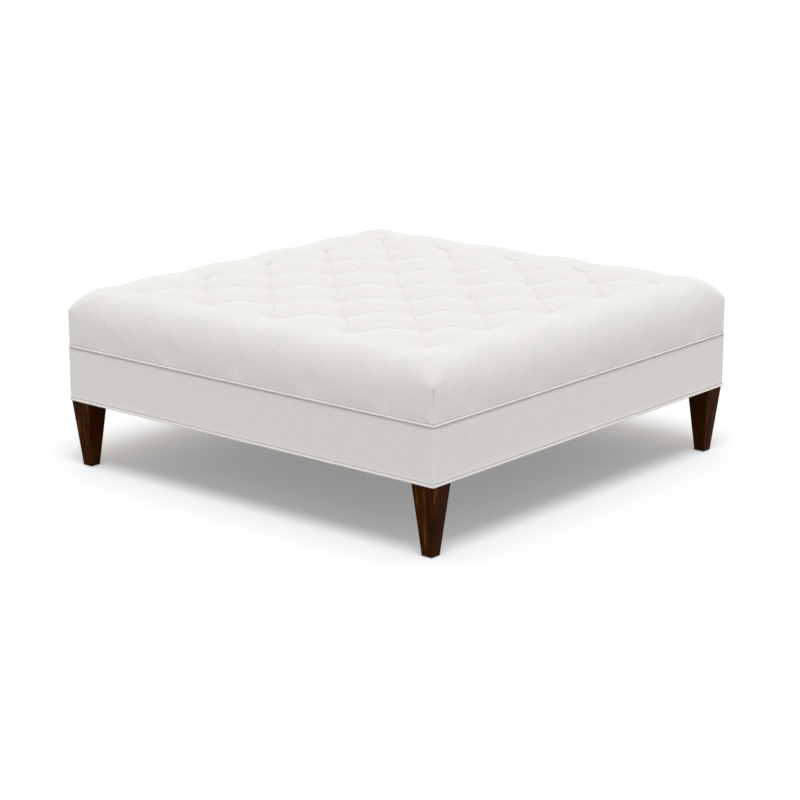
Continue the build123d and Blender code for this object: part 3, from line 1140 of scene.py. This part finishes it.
@dataclass
class Outline:
    """A square outline with rounded corners, followed by its length."""

    half_width: float
    radius: float

    @property
    def length(self) -> float:
        """Length all the way round."""
        return 8 * (self.half_width - self.radius) + 2 * math.pi * self.radius

    def point(self, along: float) -> tuple[Vector, Vector]:
        """Follow the outline from the middle of the back, against the clock.

        Args:
            along: Distance along the outline.

        Returns:
            The point and the outward direction there, both level.
        """
        flat = self.half_width - self.radius
        quarter = self.length / 4
        turn, rest = divmod(along % self.length, quarter)
        if rest <= flat:
            spot, out = Vector((-rest, self.half_width, 0)), Vector((0, 1, 0))
        elif rest <= flat + QUARTER * self.radius:
            angle = (rest - flat) / self.radius
            out = Vector((-math.sin(angle), math.cos(angle), 0))
            spot = Vector((-flat, flat, 0)) + out * self.radius
        else:
            left = rest - flat - QUARTER * self.radius
            spot, out = Vector((-self.half_width, flat - left, 0)), Vector((-1, 0, 0))
        return quarter_turns(turn, spot), quarter_turns(turn, out)

    def stations(self, run_steps: int, corner_steps: int) -> list[float]:
        """List the outline's stations, which are closer together round the corners.

        Args:
            run_steps: Number of steps from the middle of a side to a corner.
            corner_steps: Number of steps round a corner.

        Returns:
            Distances along the outline, with the start and the end.
        """
        run = (self.half_width - self.radius, run_steps)
        marks = []
        for turn in range(4):
            start = turn * self.length / 4
            for length, steps in (run, (QUARTER * self.radius, corner_steps), run):
                marks += [start + length * step / steps for step in range(steps)]
                start += length
        return marks + [self.length]


@dataclass
class FrameBand:
    """The flat band of cloth drawn round the frame over thin wadding."""

    half_width: float = 0.5335
    corner_radius: float = 0.004
    thickness: float = 0.0022
    bottom: float = 0.1600
    top: float = 0.2793
    tuck: float = 0.0008
    flare: float = 0.0012
    tuck_height: float = 0.005
    inset: float = 0.0003
    run_steps: int = 60
    corner_steps: int = 8
    rows: int = 22
    unevenness: float = 0.00035
    lumps: float = 9.0
    smooth_edge: float = 0.02

    def point(self, outline: Outline, marks: Sequence[float], across: float, up: float) -> Place:
        """Place of a point of the band.

        Args:
            outline: Outline that the band follows.
            marks: Stations of the outline.
            across: Share of the way round the band.
            up: Share of the way up the band.

        Returns:
            The point, and its place on the flat cloth.
        """
        along = pick(marks, across)
        spot, out = outline.point(along)
        height = self.top - self.bottom
        rise = height * up
        tuck = self.tuck * bell(height - rise, self.tuck_height)
        tuck -= self.flare * bell(rise, self.tuck_height)
        spot += Vector((0, 0, self.bottom + rise))
        fade = smooth_step(min(rise, height - rise) / self.smooth_edge)
        spot += out * (noise.noise(spot * self.lumps) * self.unevenness * fade - tuck)
        return spot - out * self.inset, (along, rise)

    def build(self) -> bpy.types.Object:
        """Build the band in place of its CAD solids.

        Returns:
            The band.
        """
        outline = Outline(self.half_width, self.corner_radius)
        marks = outline.stations(self.run_steps, self.corner_steps)
        mesh = bmesh.new()
        lay_panel(mesh, len(marks) - 1, self.rows, partial(self.point, outline, marks))
        bmesh.ops.remove_doubles(mesh, verts=mesh.verts[:], dist=WELD)
        bmesh.ops.recalc_face_normals(mesh, faces=mesh.faces[:])
        bmesh.ops.solidify(mesh, geom=mesh.faces[:], thickness=self.thickness)
        band = finish_piece(mesh, "band_cloth", COVER_LINEN)
        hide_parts("apron_band", "apron_wadding")
        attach(band, "root")
        return band


class StripWay(Enum):
    """Which way a piping's strip runs along the frame, as the sign of its lift."""

    DOWN = -1
    UP = 1


@dataclass
class Piping:
    """A cord in a bias-cut strip of the cover cloth, sewn round the body."""

    name: str
    node: str
    level: float
    strip_way: StripWay
    half_width: float = 0.5335
    corner_radius: float = 0.005
    radius: float = 0.0022
    sides: int = 16
    run_steps: int = 150
    corner_steps: int = 10
    ripple: float = 0.02
    ripple_pitch: float = 0.011
    strip_width: float = 0.016
    strip_half: float = 0.0006
    strip_plane: float = 0.5304
    strip_start: float = 0.0012
    strip_run_steps: int = 12
    strip_corner_steps: int = 6

    @property
    def outline(self) -> Outline:
        """The line that the cord follows."""
        return Outline(self.half_width, self.corner_radius)

    def skin_point(self, marks: Sequence[float], across: float, around: float) -> Place:
        """Place of a point of the cord's skin.

        Args:
            marks: Stations of the outline.
            across: Share of the way along the cord.
            around: Share of the way round the cord.

        Returns:
            The point, and its place on the flat cloth.
        """
        along = pick(marks, across)
        spot, out = self.outline.point(along)
        angle = 2 * math.pi * around
        ripple = self.ripple * math.sin(along * 2 * math.pi / self.ripple_pitch + angle)
        reach = self.radius * (1 + ripple)
        rise = Vector((0, 0, self.level + reach * math.sin(angle)))
        return spot + out * (reach * math.cos(angle)) + rise, (along, self.radius * angle)

    def strip_point(
        self,
        marks: Sequence[float],
        section: Sequence[tuple[float, float]],
        across: float,
        around: float,
    ) -> Place:
        """Place of a point of the strip.

        Args:
            marks: Stations of the outline.
            section: Distance from the table's middle and lift of the section's corners.
            across: Share of the way along the strip.
            around: Share of the way round the section.

        Returns:
            The point, and its place on the flat cloth.
        """
        along = pick(marks, across)
        width, lift = section[round(around * len(section)) % len(section)]
        spot, out = self.outline.point(along)
        spot += out * (width - self.half_width)
        spot.z = self.level + self.strip_way.value * lift
        return spot, (along, around * 2 * self.strip_width)

    def build(self) -> bpy.types.Object:
        """Build the piping in place of its CAD solid.

        Returns:
            The piping.
        """
        marks = self.outline.stations(self.run_steps, self.corner_steps)
        mesh = bmesh.new()
        lay_panel(mesh, len(marks) - 1, self.sides, partial(self.skin_point, marks))
        bmesh.ops.remove_doubles(mesh, verts=mesh.verts[:], dist=WELD)
        self.add_strip(mesh)
        bmesh.ops.recalc_face_normals(mesh, faces=mesh.faces[:])
        # The bias cloth's paler light tone is painted highlight on the round cord.
        piping = finish_piece(mesh, self.name, BIAS_LINEN_PAINTED_HIGHLIGHT)
        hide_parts(self.node)
        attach(piping, "root")
        return piping

    def add_strip(self, mesh: bmesh.types.BMesh) -> None:
        """Add the strip's two layers, which run in to the frame and along it.

        Args:
            mesh: Mesh that gets the strip.
        """
        start = self.half_width - self.strip_start
        inner, outer = self.strip_plane - self.strip_half, self.strip_plane + self.strip_half
        section = (
            (start, -self.strip_half),
            (inner, -self.strip_half),
            (inner, self.strip_width),
            (outer, self.strip_width),
            (outer, self.strip_half),
            (start, self.strip_half),
        )
        marks = self.outline.stations(self.strip_run_steps, self.strip_corner_steps)
        lay_panel(mesh, len(marks) - 1, len(section), partial(self.strip_point, marks, section))
        bmesh.ops.remove_doubles(mesh, verts=mesh.verts[:], dist=WELD)


@dataclass
class SoftCore:
    """The fibre and the foam inside the cushion, each eased in from its CAD solid."""

    nodes: dict[str, tuple[str, str, Finish]] = field(
        default_factory=lambda: {
            "fibre_wrap": ("fibre_layer", "wadding", FIBRE),
            "foam_slab": ("foam_core", "foam", FOAM),
        }
    )
    ease: float = 0.0002
    lumps: float = 30.0

    def build(self, frame: dict[str, Any]) -> list[bpy.types.Object]:
        """Build both cores.

        Args:
            frame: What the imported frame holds.

        Returns:
            The new pieces.
        """
        made = []
        for node, (name, slot, finish) in self.nodes.items():
            mesh = bmesh.new()
            mesh.from_mesh(frame["nodes"][node].data)
            bmesh.ops.remove_doubles(mesh, verts=mesh.verts[:], dist=TOUCHING)
            mesh.normal_update()
            for vert in mesh.verts:
                share = 0.5 + 0.5 * noise.noise(vert.co * self.lumps)
                vert.co -= vert.normal * self.ease * share
            bmesh.ops.recalc_face_normals(mesh, faces=mesh.faces[:])
            piece = finish_piece(mesh, name, finish)
            for face in piece.data.polygons:
                face.use_smooth = False
            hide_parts(node)
            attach(piece, "root")
            made.append(piece)
        return made


@dataclass
class DustCloth:
    """Black spun-bonded cloth stapled over the underside, with a slight sag."""

    half_width: float = 0.521
    level: float = 0.1545
    sag: float = 0.0025
    ripple: float = 0.0006
    ripple_scale: float = 6.0
    thickness: float = 0.0006
    cells: int = 48

    def point(self, across: float, down: float) -> Place:
        """Place of a point of the cloth.

        Args:
            across: Share of the way across the cloth.
            down: Share of the way from front to back.

        Returns:
            The point, and its place on the flat cloth.
        """
        x, y = (2 * across - 1) * self.half_width, (2 * down - 1) * self.half_width
        inside = (1 - (x / self.half_width) ** 2) * (1 - (y / self.half_width) ** 2)
        spot = Vector((x * self.ripple_scale, y * self.ripple_scale, 0))
        ripple = noise.noise(spot) * self.ripple * inside
        return Vector((x, y, self.level - self.sag * inside + ripple)), (x, y)

    def build(self) -> bpy.types.Object:
        """Build the dust cloth in place of its CAD solid.

        Returns:
            The cloth.
        """
        mesh = bmesh.new()
        lay_panel(mesh, self.cells, self.cells, self.point)
        bmesh.ops.solidify(mesh, geom=mesh.faces[:], thickness=self.thickness)
        bmesh.ops.recalc_face_normals(mesh, faces=mesh.faces[:])
        cloth = finish_piece(mesh, "underside_cloth", DUST_CLOTH)
        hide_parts("dust_cover")
        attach(cloth, "root")
        return cloth


@dataclass
class Carcase:
    """The rigid pieces that the CAD frame already holds, which only need their finishes."""

    # A node gets the finish of the longest of these words in its name.
    finishes: dict[str, Finish] = field(
        default_factory=lambda: {
            "leg_": WALNUT,
            "leg_glides": GLIDE_STEEL,
            "post_": FRAME_TIMBER,
            "_rail": FRAME_TIMBER,
            "deck_panel": DECK_PLY,
            "tufting_ties": TWINE,
            "tie_tabs": WEBBING,
            "threaded_inserts": ZINC_STEEL,
            "hanger_bolts": ZINC_STEEL,
        }
    )

    def dress(self, nodes: dict[str, bpy.types.Object]) -> None:
        """Give each rigid node its finish.

        Args:
            nodes: The CAD nodes by name.
        """
        for name, node in nodes.items():
            words = [word for word in self.finishes if word in name]
            if not words:
                continue
            finish = self.finishes[max(words, key=len)]
            node.data.materials.clear()
            node.data.materials.append(finish.material())


@dataclass
class Studio:
    """Camera, floor and plain soft light, as the photograph has them."""

    # The floor and the sky show a seen tone to the camera and light the table with another.
    camera_place: tuple[float, float, float] = (3.2279, -3.8388, 1.4698)
    camera_back: tuple[float, float, float] = (0.62215, -0.73961, 0.25671)
    lens: float = 101.25
    film_width: float = 36.0
    far_end: float = 200.0
    floor_half: float = 40.0
    floor_tone: str = "#D5D5D5"
    seen_tone: str = "#E3E3E3"
    floor_lift: float = 0.26
    sky_strength: float = 0.54
    sky_tone: str = "#FFF8F0"
    seen_sky: str = "#FFFFFF"
    key_strength: float = 1.93
    key_tone: str = "#F1F7FF"
    key_spread: float = 28.0
    key_direction: tuple[float, float, float] = (0.28, -0.285, 1.0)
    key_height: float = 3.0

    def place_camera(self) -> None:
        """Set up the camera at the photograph's viewpoint."""
        data = bpy.data.cameras.new("photo_camera")
        data.lens = self.lens
        data.sensor_width = self.film_width
        data.clip_end = self.far_end
        camera = bpy.data.objects.new("photo_camera", data)
        camera.location = self.camera_place
        camera.rotation_mode = "QUATERNION"
        camera.rotation_quaternion = (-Vector(self.camera_back)).to_track_quat("-Z", "Y")
        bpy.context.scene.collection.objects.link(camera)
        bpy.context.scene.camera = camera

    def lay_floor(self) -> None:
        """Lay a plain white floor that keeps the table's shadow."""
        mesh = bmesh.new()
        bmesh.ops.create_grid(mesh, x_segments=1, y_segments=1, size=self.floor_half)
        data = bpy.data.meshes.new("studio_floor")
        mesh.to_mesh(data)
        mesh.free()
        paint = bpy.data.materials.new("white_floor")
        paint.use_nodes = True
        tree = paint.node_tree
        tree.nodes.clear()
        seen = white_ray(tree)
        tone = add_node(
            tree,
            "ShaderNodeMix",
            {0: seen, 6: linear(self.floor_tone), 7: linear(self.seen_tone)},
            data_type="RGBA",
        )
        matt = add_node(tree, "ShaderNodeBsdfDiffuse", {"Color": tone.outputs[2]})
        lift = add_node(tree, "ShaderNodeMapRange", {0: seen, 3: 0.0, 4: self.floor_lift})
        glow = add_node(tree, "ShaderNodeEmission", {"Strength": lift.outputs[0]})
        both = add_node(tree, "ShaderNodeAddShader", {0: matt.outputs[0], 1: glow.outputs[0]})
        add_node(tree, "ShaderNodeOutputMaterial", {"Surface": both.outputs[0]})
        data.materials.append(paint)
        floor = bpy.data.objects.new("studio_floor", data)
        bpy.context.scene.collection.objects.link(floor)

    def light(self) -> None:
        """Hang a soft key light above the viewer and fill the rest from the sky."""
        world = bpy.data.worlds.new("studio_sky")
        bpy.context.scene.world = world
        world.use_nodes = True
        tree = world.node_tree
        tree.nodes.clear()
        seen = white_ray(tree)
        strength = add_node(tree, "ShaderNodeMapRange", {0: seen, 3: self.sky_strength, 4: 1.0})
        tone = add_node(
            tree,
            "ShaderNodeMix",
            {0: seen, 6: linear(self.sky_tone), 7: linear(self.seen_sky)},
            data_type="RGBA",
        )
        sky = add_node(tree, "ShaderNodeBackground", {0: tone.outputs[2], 1: strength.outputs[0]})
        add_node(tree, "ShaderNodeOutputWorld", {0: sky.outputs[0]})
        lamp = bpy.data.lights.new("key_light", "SUN")
        lamp.energy = self.key_strength
        lamp.color = linear(self.key_tone)[:3]
        lamp.angle = math.radians(self.key_spread)
        hung = bpy.data.objects.new("key_light", lamp)
        hung.rotation_mode = "QUATERNION"
        hung.rotation_quaternion = Vector(self.key_direction).to_track_quat("Z", "Y")
        hung.location = (0, 0, self.key_height)
        bpy.context.scene.collection.objects.link(hung)

    def build(self) -> None:
        """Build the studio."""
        self.place_camera()
        self.lay_floor()
        self.light()
        bpy.context.scene.view_settings.view_transform = "Standard"


def main() -> None:
    """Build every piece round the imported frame."""
    logging.basicConfig(level=logging.INFO, format="%(name)s: %(message)s")
    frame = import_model()
    Carcase().dress(frame["nodes"])
    log.info("dressed the rigid pieces")
    pieces = [TuftedCushion().build(), FrameBand().build()]
    for piping in (
        Piping("upper_piping", "mid_welt", level=0.282, strip_way=StripWay.DOWN, radius=0.0020),
        Piping("lower_piping", "base_welt", level=0.158, strip_way=StripWay.UP, radius=0.0026),
    ):
        pieces.append(piping.build())
    pieces += SoftCore().build(frame)
    pieces.append(DustCloth().build())
    for piece in pieces:
        log.info("%s: %d faces", piece.name, len(piece.data.polygons))
    Studio().build()


if __name__ == "__main__":
    main()
